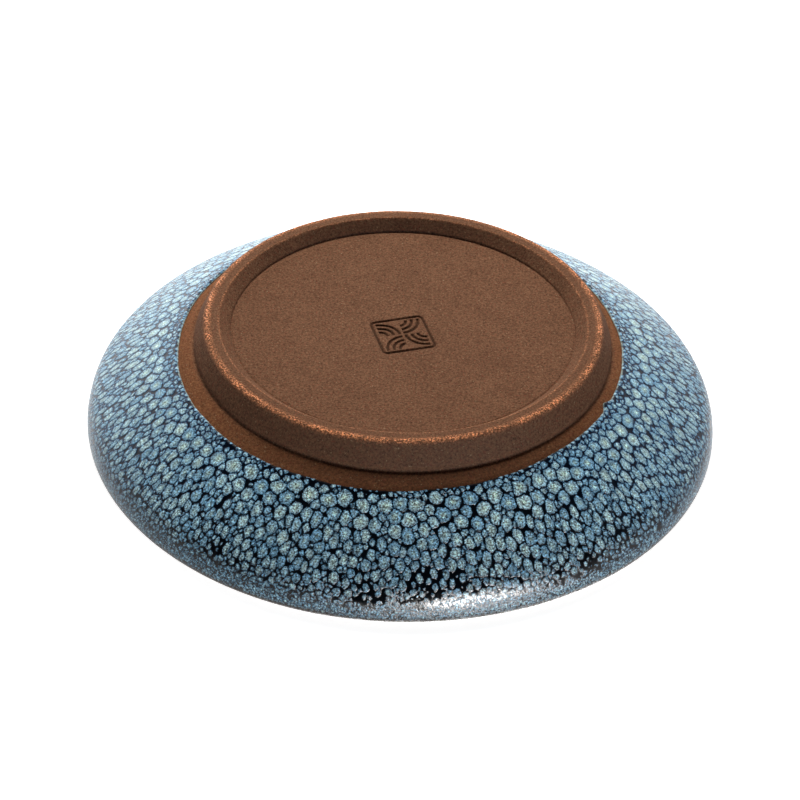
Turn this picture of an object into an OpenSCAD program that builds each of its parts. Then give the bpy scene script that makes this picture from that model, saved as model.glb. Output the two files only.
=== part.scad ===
// Shallow stoneware dish on a turned foot ring, glazed inside and out with an oil-spot glaze.
// Millimetres. It stands upright on its foot: origin at the centre of the foot's contact plane, +Z up.

/* [Dish] */
// Diameter across the rim
rim_d = 165; // [140:1:200]
// Height from the foot's contact face to the top of the rim
dish_h = 31.4; // [28:0.1:38]
// Wall thickness with both coats of glaze
wall_t = 3.8; // [3:0.1:5]
// Thickness of the base at its centre, with the inner glaze
base_t = 4.6; // [3.5:0.1:6]
// Radius at which the wall turns up into the rim
rim_turn_r = 10.4; // [8:0.1:14]
// Radius that blends the inner floor into the wall
floor_blend_r = 60; // [40:1:70]

/* [Foot] */
// Outer diameter of the face that the dish stands on
foot_d = 104; // [86:0.5:112]
// Width of that face
foot_face_w = 4.4; // [3:0.1:5.5]
// Height of the foot ring at its root
foot_h = 6.5; // [5:0.1:8]
// How far the ring's outer side spreads from the face to the root
foot_spread = 2.5; // [1.5:0.1:3.5]
// Rounding of the outer edge of the face
foot_edge_r = 1.8; // [0.8:0.1:2.2]
// Depth of the recess inside the ring
recess_depth = 2.9; // [2:0.1:3.5]
// Width of the sloping inner side of the ring
recess_slope_w = 3.2; // [2:0.1:5]
// Radius of the turned groove at the root of the ring
root_groove_r = 0.5; // [0.3:0.05:0.8]
// Radius of the fine scored line round the recess
score_r = 0.3; // [0.2:0.05:0.5]

/* [Glaze] */
// Thickness of the glaze coats
glaze_t = 0.6; // [0.4:0.05:1]
// Width of the bare shoulder between the ring's root and the glaze line
shoulder_w = 3.4; // [2:0.1:6]

/* [Mark] */
// Side of the impressed maker's mark
mark_side = 14.4; // [10:0.1:18]
// Corner radius of the mark's frame
mark_corner_r = 1.6; // [1:0.1:2.5]
// Width of the impressed lines
mark_line_w = 0.7; // [0.4:0.05:1]
// Depth of the impression
mark_depth = 0.4; // [0.2:0.05:0.6]
// Turn of the mark about the dish's axis, in degrees
mark_turn = 17; // [0:1:90]
// Distance of the mark's centre from the dish's axis
mark_off = 3; // [0:0.5:8]

/* [Hidden] */
$fn = 96;

rim_r = rim_d / 2;
lip_r = wall_t / 2;
// The lip's centre circle: the wall's outer side is upright at this height
turn_r = rim_r - rim_turn_r;
turn_z = dish_h - lip_r;
foot_r = foot_d / 2;
root_r = foot_r + foot_spread;
recess_r = foot_r - foot_face_w - recess_slope_w;

// The wall is part of a sphere centred on the dish's axis. Its clay face passes through the root of the
// foot ring, and its glazed face is tangent to the rim's turn. With the sphere's centre at height sweep_z
// and its radius sweep_r, sweep_z = sweep_m * sweep_r + sweep_n, which leaves a quadratic for sweep_r.
turn_gap = rim_turn_r - glaze_t;
turn_rise = turn_z - foot_h;
sweep_m = turn_gap / turn_rise;
sweep_n = (turn_z ^ 2 - foot_h ^ 2 + turn_r ^ 2 - root_r ^ 2 - turn_gap * (glaze_t + rim_turn_r))
    / (2 * turn_rise);
quad_a = sweep_m ^ 2 - 1;
quad_b = 2 * (sweep_m * (sweep_n - turn_z) + rim_turn_r);
quad_c = (sweep_n - turn_z) ^ 2 + turn_r ^ 2 - rim_turn_r ^ 2;
sweep_r = (-quad_b - sqrt(quad_b ^ 2 - 4 * quad_a * quad_c)) / (2 * quad_a);
sweep_z = sweep_m * sweep_r + sweep_n;

// The inner floor, and the centre circle of the blend between it and the wall
floor_z = recess_depth + base_t;
blend_z = floor_z + floor_blend_r;
blend_r = sqrt((sweep_r - wall_t - floor_blend_r) ^ 2 - (sweep_z - blend_z) ^ 2);

// Radius of the glaze line, where the outer coat ends
glaze_line_r = root_r + shoulder_w;

// Larger than any outline, so that a cut always passes right through
far = 3 * (sweep_z + rim_d);
// Steps that keep each large circle of the outlines a true circle
sweep_fn = 180;

// Half-plane on the rim side of the ray that leaves the sphere's centre and passes through (r, z)
module rim_side(r, z) {
    translate([0, sweep_z])
        rotate(atan2(z - sweep_z, r))
            square([far, far]);
}

// Everything inside the wall's outer face, moved inwards by depth, up to the lip's centre
module bowl_outline(depth) {
    intersection() {
        union() {
            difference() {
                translate([0, sweep_z])
                    circle(sweep_r - depth, $fn = sweep_fn);
                rim_side(turn_r, turn_z);
            }
            translate([turn_r, turn_z])
                circle(rim_turn_r - depth);
        }
        translate([0, -far])
            square([far, far + turn_z]);
    }
}

// The dish's hollow, grown outwards by growth into the clay
module hollow_outline(growth) {
    intersection() {
        bowl_outline(wall_t - growth);
        union() {
            translate([0, floor_z - growth])
                square([blend_r, far]);
            translate([blend_r, blend_z])
                circle(floor_blend_r + growth, $fn = sweep_fn);
            rim_side(blend_r, blend_z);
        }
    }
}

// The half circle that closes the lip, moved inwards by depth
module lip_outline(depth) {
    intersection() {
        translate([rim_r - lip_r, turn_z])
            circle(lip_r - depth);
        translate([0, turn_z])
            square([far, far]);
    }
}

// The foot ring and the base inside it, below the wall's sphere
module foot_outline() {
    edge_r = foot_r - foot_edge_r;
    side_turn = atan2(foot_spread, foot_h);
    difference() {
        union() {
            polygon([
                [0, recess_depth],
                [recess_r, recess_depth],
                [foot_r - foot_face_w, 0],
                [edge_r, 0],
                [edge_r + foot_edge_r * cos(side_turn), foot_edge_r - foot_edge_r * sin(side_turn)],
                [root_r, foot_h],
                [0, foot_h]
            ]);
            translate([edge_r, foot_edge_r])
                circle(foot_edge_r);
        }
        translate([recess_r, recess_depth])
            circle(score_r);
    }
}

// The bare clay's outline: the wall and shoulder, the lip and the foot, without the hollow
module clay_outline() {
    difference() {
        union() {
            intersection() {
                bowl_outline(glaze_t);
                translate([0, foot_h])
                    square([far, far]);
            }
            lip_outline(glaze_t);
            foot_outline();
        }
        hollow_outline(glaze_t);
        translate([root_r, foot_h])
            circle(root_groove_r);
    }
}

// One quarter of the mark's motif: a fan of quarter rings about the corner of a square field
module fan_quarter(field) {
    pitch = 2.3 * mark_line_w;
    intersection() {
        translate([field, 0])
            for (outer_r = [field : -pitch : mark_line_w]) {
                difference() {
                    circle(outer_r, $fn = 48);
                    circle(outer_r - mark_line_w, $fn = 48);
                }
            }
        square(field);
    }
}

// A square with round corners, made of true arcs
module round_square(side, corner_r) {
    half = side / 2 - corner_r;
    square([side, 2 * half], center = true);
    square([2 * half, side], center = true);
    for (x = [-half, half], y = [-half, half]) {
        translate([x, y])
            circle(corner_r, $fn = 48);
    }
}

// The impressed mark: a round-cornered frame round a pinwheel of four plain fans
module mark_outline() {
    inner = mark_side - 2 * mark_line_w;
    field = inner / 2 - 1.5 * mark_line_w;
    difference() {
        round_square(mark_side, mark_corner_r);
        round_square(inner, mark_corner_r - mark_line_w);
    }
    for (quarter = [0 : 3]) {
        rotate(90 * quarter)
            translate([mark_line_w / 2, mark_line_w / 2])
                fan_quarter(field);
    }
}

module clay_body() {
    color("#5a3c2c")
        difference() {
            rotate_extrude($fn = 180)
                clay_outline();
            translate([0, -mark_off, recess_depth])
                rotate(-mark_turn)
                    linear_extrude(2 * mark_depth, center = true)
                        mark_outline();
        }
}

module outer_glaze() {
    color("#5c87a6")
        rotate_extrude($fn = 180)
            intersection() {
                difference() {
                    bowl_outline(0);
                    bowl_outline(glaze_t);
                }
                rim_side(glaze_line_r, sweep_z - sqrt((sweep_r - glaze_t) ^ 2 - glaze_line_r ^ 2));
            }
}

module rim_glaze() {
    color("#4a4038")
        rotate_extrude($fn = 180)
            difference() {
                lip_outline(0);
                lip_outline(glaze_t);
            }
}

module inner_glaze() {
    color("#4f7d9e")
        rotate_extrude($fn = 180)
            difference() {
                hollow_outline(glaze_t);
                hollow_outline(0);
            }
}

clay_body();
outer_glaze();
rim_glaze();
inner_glaze();
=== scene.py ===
import itertools
import math

import bpy
import numpy as np
from mathutils import Matrix, Vector


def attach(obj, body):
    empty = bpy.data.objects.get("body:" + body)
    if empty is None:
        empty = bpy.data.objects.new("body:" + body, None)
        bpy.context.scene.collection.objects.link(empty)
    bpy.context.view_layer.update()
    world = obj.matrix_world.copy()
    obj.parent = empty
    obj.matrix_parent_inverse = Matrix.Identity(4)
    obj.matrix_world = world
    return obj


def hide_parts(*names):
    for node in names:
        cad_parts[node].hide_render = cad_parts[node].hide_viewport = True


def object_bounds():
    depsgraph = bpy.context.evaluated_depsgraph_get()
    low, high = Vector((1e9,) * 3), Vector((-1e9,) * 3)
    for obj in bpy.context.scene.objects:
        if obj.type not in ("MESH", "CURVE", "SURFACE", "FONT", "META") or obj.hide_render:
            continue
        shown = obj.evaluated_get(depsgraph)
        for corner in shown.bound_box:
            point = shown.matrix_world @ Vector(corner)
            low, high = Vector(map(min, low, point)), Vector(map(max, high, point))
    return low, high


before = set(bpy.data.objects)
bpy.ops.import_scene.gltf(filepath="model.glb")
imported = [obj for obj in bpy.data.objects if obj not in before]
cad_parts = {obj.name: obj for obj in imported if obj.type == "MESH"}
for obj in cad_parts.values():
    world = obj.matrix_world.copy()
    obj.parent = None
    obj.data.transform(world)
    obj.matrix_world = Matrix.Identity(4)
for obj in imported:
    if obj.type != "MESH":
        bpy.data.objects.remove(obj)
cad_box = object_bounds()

# ---------------------------------------------------------------- sizes, in millimetres
MM = 0.001

RIM_R = cad_box[1].x / MM
DISH_H = cad_box[1].z / MM
WALL_T = 3.8
BASE_T = 4.6
GLAZE_T = 0.6
RIM_TURN_R = 10.4
FLOOR_BLEND_R = 60.0

FOOT_R = 52.0
FOOT_FACE_W = 4.4
FOOT_H = 6.5
FOOT_SPREAD = 2.5
FOOT_EDGE_R = 1.8
RECESS_DEPTH = 2.9
RECESS_SLOPE_W = 3.2
ROOT_GROOVE_R = 0.5
ROOT_GROOVE_DEPTH = 0.55
SCORE_R = 0.3
SCORE_DEPTH = 0.28
SHOULDER_W = 3.4

MARK_SIDE = 14.4
MARK_CORNER_R = 1.6
MARK_LINE_W = 0.7
MARK_DEPTH = 0.4
MARK_TURN = math.radians(17)
MARK_OFF = 3.0
# The mark lies within this radius
MARK_REACH = 14

LIP_R = WALL_T / 2
TURN_R = RIM_R - RIM_TURN_R
TURN_Z = DISH_H - LIP_R
ROOT_R = FOOT_R + FOOT_SPREAD
RECESS_R = FOOT_R - FOOT_FACE_W - RECESS_SLOPE_W
FLOOR_Z = RECESS_DEPTH + BASE_T
GLAZE_LINE_R = ROOT_R + SHOULDER_W
LIP_CENTRE = (RIM_R - LIP_R, TURN_Z)
TURN_CENTRE = (TURN_R, TURN_Z)
# A quarter of the way round the lip, along its face
LIP_QUARTER = math.pi / 2 * LIP_R


def wall_sweep():
    """Height of the centre and radius of the sphere that the wall's glazed face is part of.

    The clay face, one coat deeper, passes through the root of the foot ring, and the glazed face is
    tangent to the rim's turn.
    """
    gap = RIM_TURN_R - GLAZE_T
    rise = TURN_Z - FOOT_H
    slope = gap / rise
    offset = TURN_Z**2 - FOOT_H**2 + TURN_R**2 - ROOT_R**2 - gap * (GLAZE_T + RIM_TURN_R)
    offset /= 2 * rise
    a = slope**2 - 1
    b = 2 * (slope * (offset - TURN_Z) + RIM_TURN_R)
    c = (offset - TURN_Z) ** 2 + TURN_R**2 - RIM_TURN_R**2
    radius = (-b - math.sqrt(b * b - 4 * a * c)) / (2 * a)
    return slope * radius + offset, radius


SWEEP_Z, SWEEP_R = wall_sweep()
SWEEP_CENTRE = (0, SWEEP_Z)
BLEND_Z = FLOOR_Z + FLOOR_BLEND_R
BLEND_R = math.sqrt((SWEEP_R - WALL_T - FLOOR_BLEND_R) ** 2 - (SWEEP_Z - BLEND_Z) ** 2)
# Angles from straight down at which the arcs of the wall and floor meet
TURN_ANGLE = math.atan2(TURN_R, SWEEP_Z - TURN_Z)
BLEND_ANGLE = math.atan2(BLEND_R, SWEEP_Z - BLEND_Z)
GLAZE_LINE_ANGLE = math.asin(GLAZE_LINE_R / (SWEEP_R - GLAZE_T))


# ---------------------------------------------------------------- outlines
def arc(centre, radius, start, end, step):
    """Points and outward normals along an arc. Angles are from straight down, towards the rim."""
    count = max(2, int(abs(end - start) * radius / step) + 1)
    turn = np.linspace(start, end, count)
    normals = np.stack([np.sin(turn), -np.cos(turn)], 1)
    return np.array(centre) + radius * normals, normals


def new_places(points, least):
    """Which points of an outline stand at least that far from the one before."""
    return np.r_[True, np.linalg.norm(np.diff(points, axis=0), axis=1) > least]


def joined(*stretches):
    """Stretches of points and normals as one outline, without the points that repeat, and its run."""
    points = np.concatenate([p for p, _ in stretches])
    normals = np.concatenate([n for _, n in stretches])
    keep = new_places(points, 1e-6)
    points, normals = points[keep], normals[keep]
    run = np.r_[0, np.cumsum(np.linalg.norm(np.diff(points, axis=0), axis=1))]
    return points, normals, run


def outer_face(step):
    """The outer face from the top of the lip down to the foot ring's root."""
    return joined(
        arc(LIP_CENTRE, LIP_R, math.pi, math.pi / 2, step / 2),
        arc(TURN_CENTRE, RIM_TURN_R, math.pi / 2, TURN_ANGLE, step),
        arc(SWEEP_CENTRE, SWEEP_R, TURN_ANGLE, math.asin(ROOT_R / SWEEP_R), step),
    )


def inner_face(step):
    """The inner face from the top of the lip down to the middle of the floor, its normals inwards."""
    lip, lip_normals = arc(LIP_CENTRE, LIP_R, -math.pi, -math.pi / 2, step / 2)
    turn, turn_normals = arc(TURN_CENTRE, RIM_TURN_R - WALL_T, math.pi / 2, TURN_ANGLE, step)
    wall, wall_normals = arc(SWEEP_CENTRE, SWEEP_R - WALL_T, TURN_ANGLE, BLEND_ANGLE, step)
    blend, blend_normals = arc((BLEND_R, BLEND_Z), FLOOR_BLEND_R, BLEND_ANGLE, 0, step)
    floor_r = np.linspace(BLEND_R, 0, int(BLEND_R / step) + 1)
    floor = np.stack([floor_r, np.full_like(floor_r, FLOOR_Z)], 1)
    up = np.tile([0.0, 1.0], (len(floor), 1))
    return joined((lip, lip_normals), (turn, -turn_normals), (wall, -wall_normals),
                  (blend, -blend_normals), (floor, up))


# ---------------------------------------------------------------- surface irregularity
def uneven(places, size, seed):
    """Smooth random heights from -1 to 1 at places, which are in millimetres, in lumps of that size."""
    scaled = np.asarray(places) / size
    base = np.floor(scaled)
    blend = scaled - base
    blend = blend * blend * (3 - 2 * blend)
    base = base.astype(np.int64)
    total = np.zeros(scaled.shape[:-1])
    for corner in itertools.product((0, 1), repeat=3):
        key = (base + corner) @ np.array([73856093, 19349663, 83492791]) + seed * 2654435761
        key = (key ^ (key >> 13)) * 1274126177 & 0x7FFFFFFF
        value = ((key ^ (key >> 15)) & 0xFFFF) / 32767.5 - 1
        total += value * np.prod(np.where(corner, blend, 1 - blend), axis=-1)
    return total


def smooth_step(low, high, value):
    """0 below low, 1 above high, and a smooth rise between them."""
    t = np.clip((value - low) / (high - low), 0, 1)
    return t * t * (3 - 2 * t)


# ---------------------------------------------------------------- meshes
def turned_mesh(name, places, values=None, closed=False, caps=False):
    """A mesh of rings. places is (rings, points round each ring, 3) in millimetres.

    values holds named numbers for each place, which the materials read as attributes.
    """
    rings, around = places.shape[:2]
    points = places.reshape(-1, 3)
    grid = np.arange(rings * around).reshape(rings, around)
    rows = np.vstack([grid, grid[:1]]) if closed else grid
    here, there = rows[:-1], rows[1:]
    corners = np.stack([here, np.roll(here, -1, 1), np.roll(there, -1, 1), there], -1).reshape(-1)
    sides = np.full(len(corners) // 4, 4)
    if caps:
        points = np.vstack([points, points[grid[0]].mean(0), points[grid[-1]].mean(0)])
        for ring, middle in ((grid[0][::-1], rings * around), (grid[-1], rings * around + 1)):
            fan = np.stack([ring, np.roll(ring, -1), np.full(around, middle)], -1)
            corners = np.concatenate([corners, fan.reshape(-1)])
            sides = np.concatenate([sides, np.full(around, 3)])
    mesh = bpy.data.meshes.new(name)
    mesh.vertices.add(len(points))
    mesh.vertices.foreach_set("co", (points * MM).astype(np.float32).reshape(-1))
    mesh.loops.add(len(corners))
    mesh.loops.foreach_set("vertex_index", corners.astype(np.int32))
    mesh.polygons.add(len(sides))
    mesh.polygons.foreach_set("loop_start", (np.cumsum(sides) - sides).astype(np.int32))
    mesh.update(calc_edges=True)
    mesh.polygons.foreach_set("use_smooth", np.ones(len(sides), bool))
    for key, value in (values or {}).items():
        value = np.broadcast_to(value, (rings, around)).reshape(-1)
        value = np.concatenate([value, np.full(len(points) - len(value), value[-1])])
        mesh.attributes.new(key, "FLOAT", "POINT").data.foreach_set("value", value.astype(np.float32))
    piece = bpy.data.objects.new(name, mesh)
    bpy.context.scene.collection.objects.link(piece)
    return piece


# ---------------------------------------------------------------- the glaze's spots
# Largest radius that a spot reaches, in millimetres, by its run from the top of the lip
SPOT_RUNS = (4.0, 7.0, 10.0, 15.0, 21.0, 27.0, 33.0)
SPOT_RADII = (0.35, 0.6, 1.1, 1.45, 1.55, 1.8, 2.1)
LEAST_SPOT = 0.38
# How far the surface sinks between spots
NETWORK_DEPTH = 0.07
# How far from its rim a spot is still followed
SPOT_REACH = 1.3
# How far from a spot any place starts
FAR_FROM_SPOTS = 5.0
# The throws that place the spots: how many each square millimetre, the least and the largest radius as
# shares of the local one, and how deep in older spots a new one may not start, as a share of its radius
SPOT_THROWS = ((1.6, 0.55, 1.0, 0.8), (3.0, 0.3, 0.6, 0.8))


def how_sideways(places):
    """From 0 in front of the dish and behind it to 1 on its two sides."""
    return places[..., 0] ** 2 / (places[..., :2] ** 2).sum(-1)


def grow_spots(places, run, largest, seed):
    """Spots of crystal grown over a coat's grid of places, the largest first.

    Each place belongs to the spot whose rim is nearest. Gives, for each place, how far in it is from the
    network of glass between spots, how deep in its spot, both in millimetres, and its spot's own tint.
    """
    random = np.random.default_rng(seed)
    rows, around = places.shape[:2]
    near = np.full((rows, around), FAR_FROM_SPOTS)
    next_near = near.copy()
    tint = np.zeros((rows, around))
    # The spots' rims waver, so the places are felt a little away from where they are
    wander = [uneven(places, 2.2, seed + k) + 0.5 * uneven(places, 0.9, seed + 5 + k) for k in range(3)]
    felt = places + 0.28 * np.stack(wander, -1)
    down = np.gradient(places, axis=0)
    row_step = np.linalg.norm(down, axis=-1)
    down /= row_step[..., None]
    column_step = np.hypot(places[..., 0], places[..., 1]).mean(1) * 2 * math.pi / around
    # The glaze ran down the wall, most on the dish's two sides, and stretched its spots
    sideways = how_sideways(places)
    stretch = 1 + (0.4 + 0.8 * sideways) * smooth_step(8, 13, run) * (1 - smooth_step(22, 30, run))

    def grow(i, j, radius):
        long = stretch[i, j]
        tall = int((radius + SPOT_REACH) * long / row_step[i, j]) + 1
        wide = min(int((radius + SPOT_REACH) / column_step[i]) + 1, around // 2)
        nearby_rows = np.arange(max(i - tall, 0), min(i + tall + 1, rows))
        block = np.ix_(nearby_rows, np.arange(j - wide, j + wide) % around)
        away = felt[block] - places[i, j]
        along = away @ down[i, j]
        across = (away * away).sum(-1) - along * along
        beyond = np.sqrt(np.maximum(across * long + along * along / long, 0)) - radius
        held, held_next = near[block], next_near[block]
        next_near[block] = np.minimum(held_next, np.maximum(held, beyond))
        tint[block] = np.where(beyond < held, random.random(), tint[block])
        near[block] = np.minimum(held, beyond)

    area = (row_step.mean(1) * column_step * around).sum()
    share = np.cumsum(row_step.mean(1) * column_step)
    for count, least, most, crowding in SPOT_THROWS:
        darts = int(count * area)
        i = np.searchsorted(share, random.random(darts) * share[-1])
        j = random.integers(0, around, darts)
        radii = largest[i, j] * random.uniform(least, most, darts)
        for dart in np.argsort(-radii):
            radius = radii[dart]
            if radius >= LEAST_SPOT and near[i[dart], j[dart]] > crowding * radius:
                grow(i[dart], j[dart], radius)
    return (next_near - near) / 2, near, tint


def spot_values(places, run, line_gap, seed):
    """The named values that the glaze's material and relief read, for a coat's grid of places."""
    largest = np.interp(run, SPOT_RUNS, SPOT_RADII)
    # Close to the glaze line the coat is thin and its spots stay small, further up on the dish's two sides
    near_line = smooth_step(0.7, 3.0 + 4.5 * how_sideways(places), line_gap)
    largest = np.minimum(largest, 0.62 + 1.4 * near_line)
    between, near, tint = grow_spots(places, run, largest, seed)
    glass_and_shade = uneven(places, 7, seed + 20) + 0.6 * uneven(places, 3, seed + 21)
    # On the side at -Y, low on the wall, the dark glass between the spots widens: painted shade, standing
    # for a dark reflection there
    low = smooth_step(5, 9, run) * (1 - smooth_step(12, 18, run)) * (places[..., 1] < 0)
    glass_and_shade += 0.9 * low * np.exp(-((places[..., 0] + 2) / 13) ** 2)
    # Towards -Y the glass, and so its dark colour, widens further where it pools: more painted shade
    spread = 0.30 - (0.16 + 0.26 * smooth_step(20, 60, -places[..., 1])) * smooth_step(0.25, 1.0, glass_and_shade)
    edge = np.minimum(between, spread - near)
    return {"run": run, "edge": edge, "depth": -near, "tint": tint, "line_gap": line_gap}


def spot_relief(values):
    """How far the surface sinks in the network of glass between the spots, in millimetres."""
    between = 1 - smooth_step(-0.15, 0.45, values["edge"])
    return -NETWORK_DEPTH * between * smooth_step(7, 10, values["run"])


# ---------------------------------------------------------------- the glaze coats
# What a place away from the glaze line has as its distance from it, in millimetres
FAR_FROM_LINE = 9
# How much the coats' thickness varies, and how far the bead along the glaze line stands up
COAT_SAG = 0.04
BEAD_H = 0.12


def glaze_line_run(turn, line_run):
    """Where the outer coat ends, as a run down the outer face, at each angle about the axis."""
    # The coat stands off the foot in front and comes close to it at the back and on one side
    wander = 0.5 - 1.8 * np.cos(turn + 1.2) - 0.35 * np.cos(2 * turn + 2.0) - 0.12 * np.cos(5 * turn + 2.0)
    wander += 0.08 * np.cos(11 * turn + 0.4) + 0.05 * np.cos(23 * turn + 1.9) + 0.03 * np.cos(41 * turn)
    drip = np.exp(-((np.angle(np.exp(1j * (turn + math.radians(155))))) / 0.03) ** 2)
    return line_run + wander + 1.3 * drip


def all_round(count):
    """That many angles, evenly round the axis."""
    return np.linspace(0, 2 * math.pi, count, endpoint=False)


def swept(r, z, turn):
    """Places at radius r and height z, each (rings, 1) or (rings, points round), at the angles turn."""
    return np.stack([r * np.cos(turn), r * np.sin(turn), z + 0 * turn], -1)


def outer_coat():
    """The outer coat: its face, its rounded lower edge, and its back against the clay."""
    turn = all_round(2000)
    points, normals, run = outer_face(0.3)
    start = LIP_QUARTER
    line = start + RIM_TURN_R * (math.pi / 2 - TURN_ANGLE) + SWEEP_R * (TURN_ANGLE - GLAZE_LINE_ANGLE)
    ends = glaze_line_run(turn, line)
    # Rings crowd together towards the lower edge, where the coat rolls over
    share = 1 - (1 - np.linspace(0, 1, 176)) ** 1.2
    here = start + share[:, None] * (ends - start)

    def face(runs):
        return [np.interp(runs, run, column) for column in (*points.T, *normals.T)]

    r, z, nr, nz = face(here)
    back = ends - here
    flat = swept(r, z, turn)
    values = spot_values(flat, here, back, 3)
    roll = np.sqrt(np.clip(1 - (1 - np.clip(back / 0.7, 0, 1)) ** 2, 0, 1))
    bead = BEAD_H * np.exp(-((back - 0.8) / 0.6) ** 2)
    sag = COAT_SAG * uneven(flat, 9, 3) - COAT_SAG + spot_relief(values)
    height = roll * (GLAZE_T + bead + sag * smooth_step(0, 3, here - start)) - GLAZE_T
    out = swept(r + nr * height, z + nz * height, turn)
    under_run = here[::-16][1:]
    r, z, nr, nz = face(under_run)
    under = swept(r - nr * GLAZE_T, z - nz * GLAZE_T, turn)
    # The back is never seen, so it only needs values of some kind
    for key, value in values.items():
        values[key] = np.vstack([value, np.broadcast_to(value[-1], under_run.shape)])[::-1]
    rings = np.concatenate([out, under])[::-1]
    return turned_mesh("outer_glaze_coat", rings, values, closed=True)


def rim_coat():
    """The thin band of glaze over the lip, with its back against the clay."""
    turn = all_round(1000)

    def to_lip_side(points, _, run):
        near = run <= LIP_QUARTER + 1e-6
        return points[near], run[near]

    over, over_run = to_lip_side(*outer_face(0.3))
    inside, inside_run = to_lip_side(*inner_face(0.3))
    face = np.vstack([over[::-1], inside[1:]])
    middle = np.array(LIP_CENTRE)
    under = (middle + (face - middle) / LIP_R * (LIP_R - GLAZE_T))[::-1]
    outline = np.vstack([face, under])
    runs = np.concatenate([over_run[::-1], inside_run[1:]])
    runs = np.concatenate([runs, runs[::-1]])[:, None]
    # The lip has no spots, and it is far from the glaze line
    flat = 0 * runs
    values = {"run": runs, "edge": flat, "depth": flat, "tint": flat, "line_gap": flat + FAR_FROM_LINE}
    return turned_mesh("rim_glaze_band", swept(outline[:, :1], outline[:, 1:], turn), values, closed=True)


def inner_coat():
    """The coat inside the dish."""
    turn = all_round(1400)
    points, normals, run = inner_face(0.42)
    begin = run >= LIP_QUARTER - 1e-6
    points, normals, run = points[begin][:-1], normals[begin][:-1], run[begin][:-1]
    places = swept(points[:, :1], points[:, 1:], turn)
    values = spot_values(places, run[:, None] + 0 * turn, FAR_FROM_LINE + 0 * places[..., 0], 7)
    sag = COAT_SAG * uneven(places, 9, 5) - COAT_SAG / 2 + spot_relief(values)
    sag = sag * smooth_step(0, 3, run - run[0])[:, None]
    out = swept(points[:, :1] + normals[:, :1] * sag, points[:, 1:] + normals[:, 1:] * sag, turn)
    behind = (points - normals * GLAZE_T)[::-8]
    # The back and then the face, joined at the lip and each closed in its middle
    rings = np.concatenate([swept(behind[:, :1], behind[:, 1:], turn), out])
    values = {key: np.vstack([value[::-8], value]) for key, value in values.items()}
    return turned_mesh("inner_glaze_coat", rings, values, caps=True)


# ---------------------------------------------------------------- the clay body
def mark_press(x, y):
    """How deep the maker's mark is pressed at each place, from 0 to 1: a frame round a pinwheel of fans."""
    c, s = math.cos(MARK_TURN), math.sin(MARK_TURN)
    y = y + MARK_OFF
    x, y = c * x - s * y, s * x + c * y

    def round_square(side, corner):
        dx = np.abs(x) - (side / 2 - corner)
        dy = np.abs(y) - (side / 2 - corner)
        return np.hypot(np.maximum(dx, 0), np.maximum(dy, 0)) + np.minimum(np.maximum(dx, dy), 0) - corner

    gap = np.maximum(round_square(MARK_SIDE, MARK_CORNER_R),
                     -round_square(MARK_SIDE - 2 * MARK_LINE_W, MARK_CORNER_R - MARK_LINE_W))
    # The fans keep one and a half line widths off the frame, and stand 1.3 line widths apart
    field = MARK_SIDE / 2 - 2.5 * MARK_LINE_W
    pitch = 2.3 * MARK_LINE_W
    for quarter in range(4):
        a = -quarter * math.pi / 2
        u = x * math.cos(a) - y * math.sin(a) - MARK_LINE_W / 2
        v = x * math.sin(a) + y * math.cos(a) - MARK_LINE_W / 2
        cell = np.maximum.reduce([-u, -v, u - field, v - field])
        away = np.hypot(u - field, v)
        for outer_r in np.arange(field, MARK_LINE_W, -pitch):
            ring = np.abs(away - (outer_r - MARK_LINE_W / 2)) - MARK_LINE_W / 2
            gap = np.minimum(gap, np.maximum(ring, cell))
    return 1 - smooth_step(-0.18, 0.18, gap)


def clay_outline():
    """The clay's outline from the middle of the recess, round foot and wall, to the middle of the floor."""
    def line(a, b, step):
        count = max(2, int(math.dist(a, b) / step) + 1)
        return np.linspace(a, b, count)

    edge_r = FOOT_R - FOOT_EDGE_R
    lean = math.atan2(FOOT_SPREAD, FOOT_H)
    side_start = (edge_r + FOOT_EDGE_R * math.cos(lean), FOOT_EDGE_R - FOOT_EDGE_R * math.sin(lean))
    fine = 0.15
    stretches = [
        line((0.1, RECESS_DEPTH), (MARK_REACH, RECESS_DEPTH), 0.16),
        line((MARK_REACH, RECESS_DEPTH), (RECESS_R - 3, RECESS_DEPTH), 0.5),
        line((RECESS_R - 3, RECESS_DEPTH), (RECESS_R, RECESS_DEPTH), fine),
        line((RECESS_R, RECESS_DEPTH), (FOOT_R - FOOT_FACE_W, 0), fine),
        line((FOOT_R - FOOT_FACE_W, 0), (edge_r, 0), fine),
        arc((edge_r, FOOT_EDGE_R), FOOT_EDGE_R, 0, math.pi / 2 - lean, fine)[0],
        line(side_start, (ROOT_R, FOOT_H), fine),
    ]
    clay_r = SWEEP_R - GLAZE_T
    root_angle = math.asin(ROOT_R / clay_r)
    past_line = GLAZE_LINE_ANGLE + 0.03
    stretches += [
        arc(SWEEP_CENTRE, clay_r, root_angle, past_line, fine)[0],
        arc(SWEEP_CENTRE, clay_r, past_line, TURN_ANGLE, 1.5)[0],
        arc(TURN_CENTRE, RIM_TURN_R - GLAZE_T, TURN_ANGLE, math.pi / 2, 0.8)[0],
        arc(LIP_CENTRE, LIP_R - GLAZE_T, math.pi / 2, 3 * math.pi / 2, 0.3)[0],
    ]
    points, normals, run = inner_face(1.5)
    inside = run > LIP_QUARTER
    stretches.append((points - normals * GLAZE_T)[inside][:-1])
    outline = np.vstack(stretches)
    return outline[new_places(outline, 1e-4)]


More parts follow.
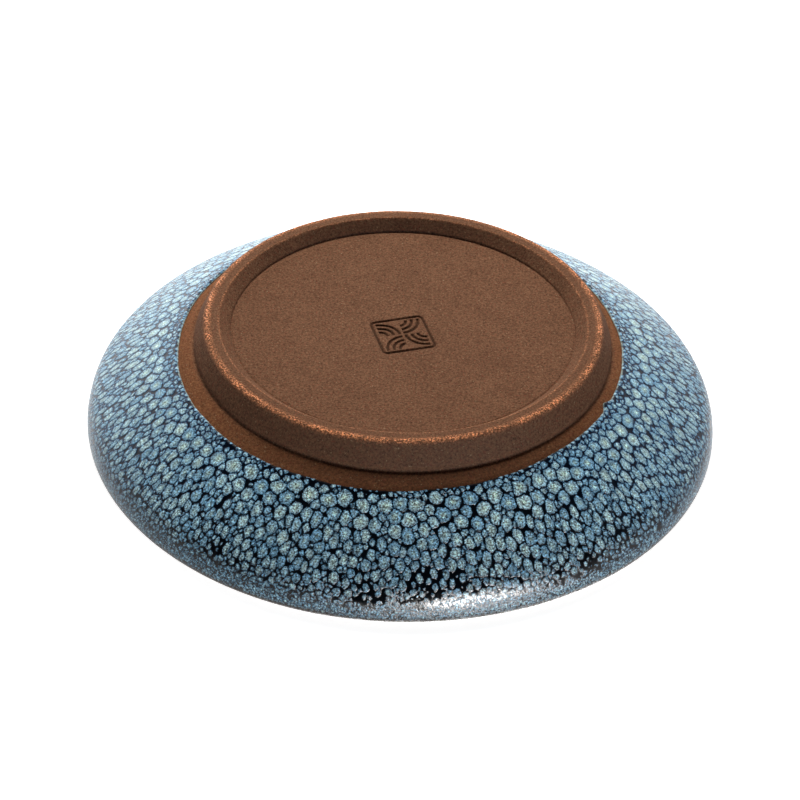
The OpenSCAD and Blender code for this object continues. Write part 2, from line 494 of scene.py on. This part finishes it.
def clay_piece():
    """The thrown and turned body."""
    outline = clay_outline()
    r, z = outline[:, 0], outline[:, 1]
    under = np.arange(len(r)) < np.argmax(r)
    # Softened corners of the foot: the heights and radii are averaged along the finely stepped stretch
    soft = outline.copy()
    for _ in range(3):
        soft[1:-1] = (soft[:-2] + 2 * soft[1:-1] + soft[2:]) / 4
    fine = under & (r > RECESS_R - 2.5) & (r < GLAZE_LINE_R + 1)
    outline[fine] = soft[fine]
    r, z = outline[:, 0], outline[:, 1]
    # The outline's outward normals
    step = np.gradient(outline, axis=0)
    normal = np.stack([step[:, 1], -step[:, 0]], 1)
    normal /= np.linalg.norm(normal, axis=1)[:, None]
    # The turned groove at the ring's root, and the line scored round the recess
    from_root = (r - ROOT_R) ** 2 + (z - FOOT_H) ** 2
    from_score = (r - RECESS_R) ** 2 + (z - RECESS_DEPTH) ** 2
    groove = ROOT_GROOVE_DEPTH * np.exp(-(from_root / (1.3 * ROOT_GROOVE_R) ** 2))
    score = SCORE_DEPTH * np.exp(-(from_score / (0.8 * SCORE_R) ** 2))
    cut = np.where(under, groove + score, 0)
    turn = all_round(720)
    places = swept(outline[:, :1], outline[:, 1:], turn)
    bare = (under & (r < GLAZE_LINE_R + 1.5))[:, None]
    # Turning marks: shallow rings that waver a little
    waver = 0.5 * uneven(places * [0.08, 0.08, 0], 1, 11)

    def turning_rings(spacing, seed):
        along = (r[:, None] + z[:, None]) / spacing + waver
        return uneven(np.stack([along, 0 * waver, 0 * waver], -1), 1, seed)

    lathe = turning_rings(0.55, 12) + 0.6 * turning_rings(1.7, 13)
    rough = 0.018 * uneven(places, 0.5, 14) + 0.02 * uneven(places, 1.3, 15) + 0.03 * uneven(places, 6, 16)
    relief = -cut[:, None] + np.where(bare, -0.02 + 0.016 * lathe + rough, 0)
    standing = (np.abs(z) < 0.05)[:, None] & bare
    relief = np.where(standing, np.minimum(relief, 0), relief)
    marked = ((r < MARK_REACH) & under)[:, None]
    press = np.where(marked, mark_press(places[..., 0], places[..., 1]), 0)
    out_r = r[:, None] + normal[:, :1] * relief
    out_z = z[:, None] + normal[:, 1:] * relief + MARK_DEPTH * press
    out = np.stack([out_r * np.cos(turn), out_r * np.sin(turn), np.maximum(out_z, 0)], -1)
    return turned_mesh("turned_clay_body", out, {"pressed": press}, caps=True)


# ---------------------------------------------------------------- materials
def shade(code, alpha=1.0):
    """An sRGB hex colour as the linear values that Blender works in."""
    parts = [int(code[i:i + 2], 16) / 255 for i in (1, 3, 5)]
    return tuple(c / 12.92 if c <= 0.04045 else ((c + 0.055) / 1.055) ** 2.4 for c in parts) + (alpha,)


def add(tree, kind, inputs=(), **settings):
    """Adds a node with its settings. Inputs are given by name, or in the order of the sockets in use."""
    node = tree.nodes.new(kind)
    for name, value in settings.items():
        setattr(node, name, value)
    in_use = [socket for socket in node.inputs if socket.enabled]
    pairs = inputs.items() if isinstance(inputs, dict) else zip(range(len(inputs)), inputs)
    for key, value in pairs:
        socket = node.inputs[key] if isinstance(key, str) else in_use[key]
        if isinstance(value, bpy.types.Node):
            value = next(o for o in value.outputs if o.enabled)
        if isinstance(value, bpy.types.NodeSocket):
            tree.links.new(value, socket)
        elif value is not None:
            socket.default_value = value
    return node


def new_material(name):
    material = bpy.data.materials.new(name)
    material.use_nodes = True
    tree = material.node_tree
    tree.nodes.clear()
    return material, tree


def place_in_millimetres(tree):
    """The place on the piece, in the shared frame's millimetres."""
    place = add(tree, "ShaderNodeTexCoord").outputs["Object"]
    return add(tree, "ShaderNodeVectorMath", {0: place, "Scale": 1 / MM}, operation="SCALE")


def finish_material(tree, shader):
    add(tree, "ShaderNodeOutputMaterial", {"Surface": shader})


# Sizes of the finest specks in the glaze, in millimetres
SPECK_SIZE = 0.8
PINHOLE_GAP = 1.1


def cells(tree, place, size):
    """Cells of one size: how far in from their edges a place is, in millimetres."""
    scaled = add(tree, "ShaderNodeVectorMath", {0: place, "Scale": 1 / size}, operation="SCALE")
    common = {"Vector": scaled, "Scale": 1.0, "Randomness": 0.9}
    first = add(tree, "ShaderNodeTexVoronoi", common, feature="F1")
    second = add(tree, "ShaderNodeTexVoronoi", common, feature="F2")
    between = add(tree, "ShaderNodeMath", [second.outputs["Distance"], first.outputs["Distance"]],
                  operation="SUBTRACT")
    return add(tree, "ShaderNodeMath", [between, size / 2], operation="MULTIPLY")


def oil_spot_glaze(name):
    """Iron-saturated stoneware glaze, slow cooled so that pale blue crystals float up in spots.

    The spots are satin and pale, the glass between them is glossy and almost black.
    """
    material, tree = new_material(name)
    place = place_in_millimetres(tree)

    def value(key):
        return add(tree, "ShaderNodeAttribute", attribute_name=key).outputs["Fac"]

    run, edge, depth, tint = value("run"), value("edge"), value("depth"), value("tint")
    grain = {"Vector": place, "Scale": 1.5, "Detail": 3.0, "Roughness": 0.8}
    grain = add(tree, "ShaderNodeTexNoise", grain)
    ragged = add(tree, "ShaderNodeMapRange", [grain.outputs[0], 0.3, 0.7, -0.2, 0.2], clamp=False)
    speck_edge = cells(tree, place, SPECK_SIZE)
    # Towards the rim the spots give way to fine specks
    fine = add(tree, "ShaderNodeMapRange", [run, 5.0, 9.0, 1.0, 0.0], interpolation_type="SMOOTHSTEP")
    past_speck = add(tree, "ShaderNodeMath", [speck_edge, 0.04], operation="SUBTRACT")
    past_spot = add(tree, "ShaderNodeMath", [edge, 0.17], operation="SUBTRACT")
    past = add(tree, "ShaderNodeMix", [fine, past_spot, past_speck])
    past = add(tree, "ShaderNodeMath", [past, ragged], operation="ADD")
    spot = add(tree, "ShaderNodeMapRange", [past, -0.05, 0.09, 0.0, 1.0],
               interpolation_type="SMOOTHSTEP")

    # The glass between the spots is navy, and black towards the side at -Y, where the black is painted
    # shade
    painted_shade_side = add(tree, "ShaderNodeSeparateXYZ", [place]).outputs[1]
    painted_shade_side = add(tree, "ShaderNodeMapRange", [painted_shade_side, -65.0, -20.0, 1.0, 0.0],
                interpolation_type="SMOOTHSTEP")
    glass_and_shade = add(tree, "ShaderNodeMix", [painted_shade_side, shade("#0f2d52"), shade("#010202")], data_type="RGBA")
    # Darker still in the middle of the glass lines: painted shade in the creases between the spots, over
    # the glass's own dark colour
    deep = add(tree, "ShaderNodeMapRange", [past, -0.02, -0.22, 0.0, 0.85],
               interpolation_type="SMOOTHSTEP")
    glass_and_shade = add(tree, "ShaderNodeMix", [deep, glass_and_shade, shade("#02060e")], data_type="RGBA")
    body = add(tree, "ShaderNodeMix", [tint, shade("#668da4"), shade("#8fa9ae")], data_type="RGBA")
    body = add(tree, "ShaderNodeMix", [fine, body, shade("#8ba3a2")], data_type="RGBA")
    inward = add(tree, "ShaderNodeMapRange", [past, 0.02, 0.4, 0.0, 1.0])
    body = add(tree, "ShaderNodeMix", [inward, shade("#426d8a"), body], data_type="RGBA")
    heart = add(tree, "ShaderNodeMapRange", [depth, 0.8, 1.9, 0.0, 0.8])
    body = add(tree, "ShaderNodeMix", [heart, body, shade("#b4c9b6")], data_type="RGBA")
    mottle = add(tree, "ShaderNodeMapRange", [grain.outputs[0], 0.3, 0.7, 0.4, 1.7])
    body = add(tree, "ShaderNodeMix", [1.0, body, mottle], data_type="RGBA", blend_type="MULTIPLY")
    # The crystals stipple each spot
    stipple = {"Vector": place, "Scale": 2.3, "Detail": 2.0, "Roughness": 0.6}
    stipple = add(tree, "ShaderNodeTexNoise", stipple)
    stipple = add(tree, "ShaderNodeMapRange", [stipple.outputs[0], 0.36, 0.66, 0.0, 2.7])
    strong = add(tree, "ShaderNodeMapRange", [painted_shade_side, 0.0, 1.0, 0.5, 0.95])
    body = add(tree, "ShaderNodeMix", [strong, body, stipple], data_type="RGBA", blend_type="MULTIPLY")
    # Dark pinholes where gas came up through the deeper spots
    holes = add(tree, "ShaderNodeVectorMath", {0: place, "Scale": 1 / PINHOLE_GAP}, operation="SCALE")
    holes = add(tree, "ShaderNodeTexVoronoi", {"Vector": holes, "Scale": 1.0}, feature="F1")
    holes = add(tree, "ShaderNodeMapRange", [holes.outputs["Distance"], 0.14, 0.28, 1.2, 0.0])
    holes = add(tree, "ShaderNodeMath", [holes, heart], operation="MULTIPLY")
    body = add(tree, "ShaderNodeMix", [holes, body, shade("#0a121a")], data_type="RGBA")
    colour = add(tree, "ShaderNodeMix", [spot, glass_and_shade, body], data_type="RGBA")
    # The bead along the glaze line is thin and pale: partly its own pale colour, partly a painted
    # highlight, which fades out towards the side at -Y
    gap = value("line_gap")
    pale = add(tree, "ShaderNodeMath", [ragged, gap], operation="ADD")
    pale = add(tree, "ShaderNodeMapRange", [pale, 0.05, 0.28, 0.55, 0.0],
               interpolation_type="SMOOTHSTEP")
    # The painted highlight on the bead shows only away from the side at -Y
    thin = add(tree, "ShaderNodeMath", [1.0, painted_shade_side], operation="SUBTRACT")
    pale = add(tree, "ShaderNodeMath", [pale, thin], operation="MULTIPLY")
    colour = add(tree, "ShaderNodeMix", [pale, colour, shade("#bccfc6")], data_type="RGBA")

    lip = add(tree, "ShaderNodeMapRange", [run, 2.2, 4.2, 1.0, 0.0], interpolation_type="SMOOTHSTEP")
    colour = add(tree, "ShaderNodeMix", [lip, colour, shade("#40352e")], data_type="RGBA")

    rough = add(tree, "ShaderNodeMapRange", [spot, 0.0, 1.0, 0.12, 0.3])
    swell = add(tree, "ShaderNodeMapRange", [past, -0.12, 0.2, 0.0, 1.0],
                interpolation_type="SMOOTHSTEP")
    swell = add(tree, "ShaderNodeMath", [swell, grain.outputs[0]], operation="ADD")
    relief = add(tree, "ShaderNodeBump", {"Height": swell, "Distance": 0.00005, "Strength": 1.0})
    shader = add(tree, "ShaderNodeBsdfPrincipled", {
        "Base Color": colour, "Roughness": rough, "IOR": 1.5, "Normal": relief})
    finish_material(tree, shader)
    return material


def bare_stoneware():
    """Iron-bearing stoneware, unglazed and turned: dark brown and dull, with fine grog, and a foot rubbed
    copper by wear, with painted glints on it.
    """
    material, tree = new_material("iron-bearing stoneware, unglazed")
    place = place_in_millimetres(tree)
    parts = add(tree, "ShaderNodeSeparateXYZ", [place])
    level = add(tree, "ShaderNodeCombineXYZ", [parts.outputs[0], parts.outputs[1], 0.0])
    radius = add(tree, "ShaderNodeVectorMath", [level], operation="LENGTH").outputs["Value"]
    cloud = add(tree, "ShaderNodeTexNoise", {"Vector": place, "Scale": 0.12, "Detail": 4.0})
    colour = add(tree, "ShaderNodeMix", [cloud, shade("#5a3e2d"), shade("#6b4c38")], data_type="RGBA")
    flash = add(tree, "ShaderNodeMapRange", [radius, ROOT_R - 0.5, ROOT_R + 1.0, 0.0, 0.6])
    colour = add(tree, "ShaderNodeMix", [flash, colour, shade("#75492c")], data_type="RGBA")
    grain = {"Vector": place, "Scale": 1.8, "Detail": 4.0, "Roughness": 0.85}
    grain = add(tree, "ShaderNodeTexNoise", grain)
    speck = add(tree, "ShaderNodeMapRange", [grain.outputs[0], 0.32, 0.68, 0.3, 1.75])
    colour = add(tree, "ShaderNodeMix", [1.0, colour, speck], data_type="RGBA", blend_type="MULTIPLY")
    # Grog that fired redder, and paler, than the clay round it
    grog = {"Vector": place, "Scale": 1.7, "Detail": 2.0, "Roughness": 0.7}
    grog = add(tree, "ShaderNodeTexNoise", grog)
    red = add(tree, "ShaderNodeMapRange", [grog.outputs[0], 0.56, 0.70, 0.0, 0.6])
    colour = add(tree, "ShaderNodeMix", [red, colour, shade("#7a4030")], data_type="RGBA")
    light = add(tree, "ShaderNodeMapRange", [grog.outputs[0], 0.36, 0.28, 0.0, 0.6])
    colour = add(tree, "ShaderNodeMix", [light, colour, shade("#a68a6c")], data_type="RGBA")

    # The mark's grooves are darker
    pressed = add(tree, "ShaderNodeAttribute", attribute_name="pressed").outputs["Fac"]
    pressed = add(tree, "ShaderNodeMapRange", [pressed, 0.3, 1.0, 0.0, 0.7])
    colour = add(tree, "ShaderNodeMix", [pressed, colour, shade("#24170f")], data_type="RGBA")

    # The foot is worn along its outer rounding and, a little, along the inner edge of its flat face; the
    # bright copper colour there is partly wear and partly painted glint
    outer = add(tree, "ShaderNodeMath", [radius, FOOT_R - 1.3], operation="SUBTRACT")
    outer = add(tree, "ShaderNodeMath", [outer], operation="ABSOLUTE")
    inner = add(tree, "ShaderNodeMath", [radius, FOOT_R - FOOT_FACE_W], operation="SUBTRACT")
    inner = add(tree, "ShaderNodeMath", [inner], operation="ABSOLUTE")
    outer = add(tree, "ShaderNodeMapRange", [outer, 0.1, 1.3, 1.0, 0.0])
    inner = add(tree, "ShaderNodeMapRange", [inner, 0.0, 0.4, 0.35, 0.0])
    wear_and_glint = add(tree, "ShaderNodeMath", [outer, inner], operation="MAXIMUM")
    low = add(tree, "ShaderNodeMapRange", [parts.outputs[2], 0.3, 1.2, 1.0, 0.0])
    wear_and_glint = add(tree, "ShaderNodeMath", [wear_and_glint, low], operation="MULTIPLY")
    patch = add(tree, "ShaderNodeTexNoise", {"Vector": place, "Scale": 0.22, "Detail": 3.0})
    patch = add(tree, "ShaderNodeMapRange", [patch.outputs[0], 0.35, 0.65, 0.3, 1.1])
    grit = {"Vector": place, "Scale": 2.0, "Detail": 3.0, "Roughness": 0.8}
    grit = add(tree, "ShaderNodeTexNoise", grit)
    grit = add(tree, "ShaderNodeMapRange", [grit.outputs[0], 0.49, 0.60, 0.0, 1.3])
    wear_and_glint = add(tree, "ShaderNodeMath", [wear_and_glint, patch], operation="MULTIPLY")
    wear_and_glint = add(tree, "ShaderNodeMath", [wear_and_glint, grit], operation="MULTIPLY", use_clamp=True)
    # Bright copper where the foot is rubbed: wear, with painted glints
    colour = add(tree, "ShaderNodeMix", [wear_and_glint, colour, shade("#ffa26a")], data_type="RGBA")
    bump = add(tree, "ShaderNodeBump", {"Height": grain.outputs[0], "Distance": 0.00015, "Strength": 0.6})
    # Where the foot is worn it is burnished, and glints
    dull = add(tree, "ShaderNodeMapRange", [wear_and_glint, 0.0, 1.0, 0.75, 0.4])
    gleam = add(tree, "ShaderNodeMapRange", [wear_and_glint, 0.0, 1.0, 0.05, 0.45])
    shader = add(tree, "ShaderNodeBsdfPrincipled", {
        "Base Color": colour, "Roughness": dull, "Specular IOR Level": gleam, "Normal": bump})
    finish_material(tree, shader)
    return material


# ---------------------------------------------------------------- the pieces
clay = clay_piece()
outer = outer_coat()
rim = rim_coat()
inner = inner_coat()
clay.data.materials.append(bare_stoneware())
outer.data.materials.append(oil_spot_glaze("oil-spot glaze, poured over the wall"))
rim.data.materials.append(oil_spot_glaze("oil-spot glaze, thin over the lip"))
inner.data.materials.append(oil_spot_glaze("oil-spot glaze, pooled in the dish"))
for piece, node, slot in ((clay, "clay_body", "stoneware"), (outer, "outer_glaze", "oil_spot_glaze"),
                          (rim, "rim_glaze", "thin_rim_glaze"), (inner, "inner_glaze", "oil_spot_glaze")):
    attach(piece, "root")
    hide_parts(node)


# ---------------------------------------------------------------- camera
# The dish is seen upside down, from under its foot: the camera is below it and turned over
VIEW_BELOW = math.radians(37.64)
VIEW_ROLL = math.radians(1.83)
VIEW_DISTANCE = 8 * RIM_R * MM
VIEW_LENS = 112.0
# The middle of the dark part of the studio
DARK_WAY = (0, -0.45, -0.89)
# And of a dimmer part, low on one side
DIM_WAY = (-0.72, 0.62, -0.31)


def make_camera():
    target = Vector((0, 0, 29.9 * MM))
    back = Vector((0, -math.cos(VIEW_BELOW), -math.sin(VIEW_BELOW)))
    right = Vector((-1, 0, 0))
    up = Vector((0, math.sin(VIEW_BELOW), -math.cos(VIEW_BELOW)))
    turned_right = right * math.cos(VIEW_ROLL) + up * math.sin(VIEW_ROLL)
    turned_up = up * math.cos(VIEW_ROLL) - right * math.sin(VIEW_ROLL)
    # The dish sits slightly low in the view, so the camera aims a little past it
    aim = (-back + turned_up * 0.00412 - turned_right * 0.00023).normalized()
    turned_right = (turned_right - aim * turned_right.dot(aim)).normalized()
    turned_up = turned_right.cross(aim)
    data = bpy.data.cameras.new("camera")
    data.lens = VIEW_LENS
    data.clip_start = 0.01
    data.clip_end = 50
    camera = bpy.data.objects.new("camera", data)
    bpy.context.scene.collection.objects.link(camera)
    camera.matrix_world = Matrix((
        (turned_right.x, turned_up.x, -aim.x, target.x + back.x * VIEW_DISTANCE),
        (turned_right.y, turned_up.y, -aim.y, target.y + back.y * VIEW_DISTANCE),
        (turned_right.z, turned_up.z, -aim.z, target.z + back.z * VIEW_DISTANCE),
        (0, 0, 0, 1)))
    bpy.context.scene.camera = camera


# ---------------------------------------------------------------- floor and light
def paper_floor(name, height, facing_up, glow):
    """A pale paper floor that shows only from the side it faces, and throws no light or shade."""
    half = 4.0
    mesh = bpy.data.meshes.new(name)
    corners = [(-half, -half, height), (half, -half, height), (half, half, height), (-half, half, height)]
    mesh.from_pydata(corners if facing_up else corners[::-1], [], [(0, 1, 2, 3)])
    floor = bpy.data.objects.new(name, mesh)
    bpy.context.scene.collection.objects.link(floor)
    material, tree = new_material(name)
    side = add(tree, "ShaderNodeNewGeometry").outputs["Backfacing"]
    # Thin paper that is lit from behind as well, so the shade by the dish stays light
    paper = add(tree, "ShaderNodeBsdfDiffuse", {"Color": shade("#ffffff")})
    lit = add(tree, "ShaderNodeEmission", {"Color": shade("#ffffff"), "Strength": glow})
    paper = add(tree, "ShaderNodeAddShader", [paper, lit])
    clear = add(tree, "ShaderNodeBsdfTransparent")
    finish_material(tree, add(tree, "ShaderNodeMixShader", [side, paper, clear]))
    mesh.materials.append(material)
    for ray in ("visible_diffuse", "visible_glossy", "visible_transmission", "visible_volume_scatter",
                "visible_shadow"):
        setattr(floor, ray, False)


def area_light(name, place, size, power, gleam=True, fill=True):
    """A round soft light, aimed at the dish.

    Without gleam it isn't mirrored in the glaze, and without fill it is only mirrored.
    """
    data = bpy.data.lights.new(name, "AREA")
    data.shape = "DISK"
    data.size = size
    data.energy = power
    light = bpy.data.objects.new(name, data)
    light.location = place
    light.rotation_mode = "QUATERNION"
    middle = Vector((0, 0, 0.015))
    light.rotation_quaternion = (middle - Vector(place)).to_track_quat("-Z", "Y")
    light.visible_glossy = gleam
    light.visible_diffuse = fill
    bpy.context.scene.collection.objects.link(light)


def studio():
    """Pale walls all round, and dark ones over the camera for the view from under the foot."""
    world = bpy.data.worlds.new("studio")
    bpy.context.scene.world = world
    world.use_nodes = True
    tree = world.node_tree
    tree.nodes.clear()
    way = add(tree, "ShaderNodeTexCoord").outputs["Generated"]
    parts = add(tree, "ShaderNodeSeparateXYZ", [way]).outputs

    def facing(way_there):
        return add(tree, "ShaderNodeVectorMath", [way, way_there], operation="DOT_PRODUCT").outputs["Value"]

    dark = add(tree, "ShaderNodeMapRange", [facing(DARK_WAY), 0.08, 0.50, 0.0, 0.98],
               interpolation_type="SMOOTHSTEP")
    below = add(tree, "ShaderNodeMapRange", [parts["Z"], 0.02, -0.10, 0.0, 1.0],
                interpolation_type="SMOOTHSTEP")
    dark = add(tree, "ShaderNodeMath", [dark, below], operation="MULTIPLY")
    walls = add(tree, "ShaderNodeMix", [dark, shade("#ffffff"), shade("#000000")], data_type="RGBA")
    strength = add(tree, "ShaderNodeMapRange", [parts["Y"], 0.2, 0.9, 0.75, 1.5],
                   interpolation_type="SMOOTHSTEP")
    dim = add(tree, "ShaderNodeMapRange", [facing(DIM_WAY), 0.65, 0.95, 1.0, 0.45],
              interpolation_type="SMOOTHSTEP")
    strength = add(tree, "ShaderNodeMath", [strength, dim], operation="MULTIPLY")
    light = add(tree, "ShaderNodeBackground", {"Color": walls, "Strength": strength})
    add(tree, "ShaderNodeOutputWorld", {"Surface": light})


make_camera()
studio()
paper_floor("floor", 0.0, True, 0.15)
paper_floor("floor for the view from below", DISH_H * MM, False, 0.9)
area_light("overhead for the view from below", (0.05, 0.6, -0.65), 0.5, 13.0, gleam=False)
area_light("window, as mirrored", (-0.47, -1.06, -0.04), 0.46, 44.0, fill=False)
area_light("window, as it fills", (-0.49, -1.07, 0.07), 0.35, 4.6, gleam=False)
area_light("overhead", (-0.15, 0.2, 0.8), 0.5, 6.0)
bpy.context.scene.view_settings.view_transform = "Standard"
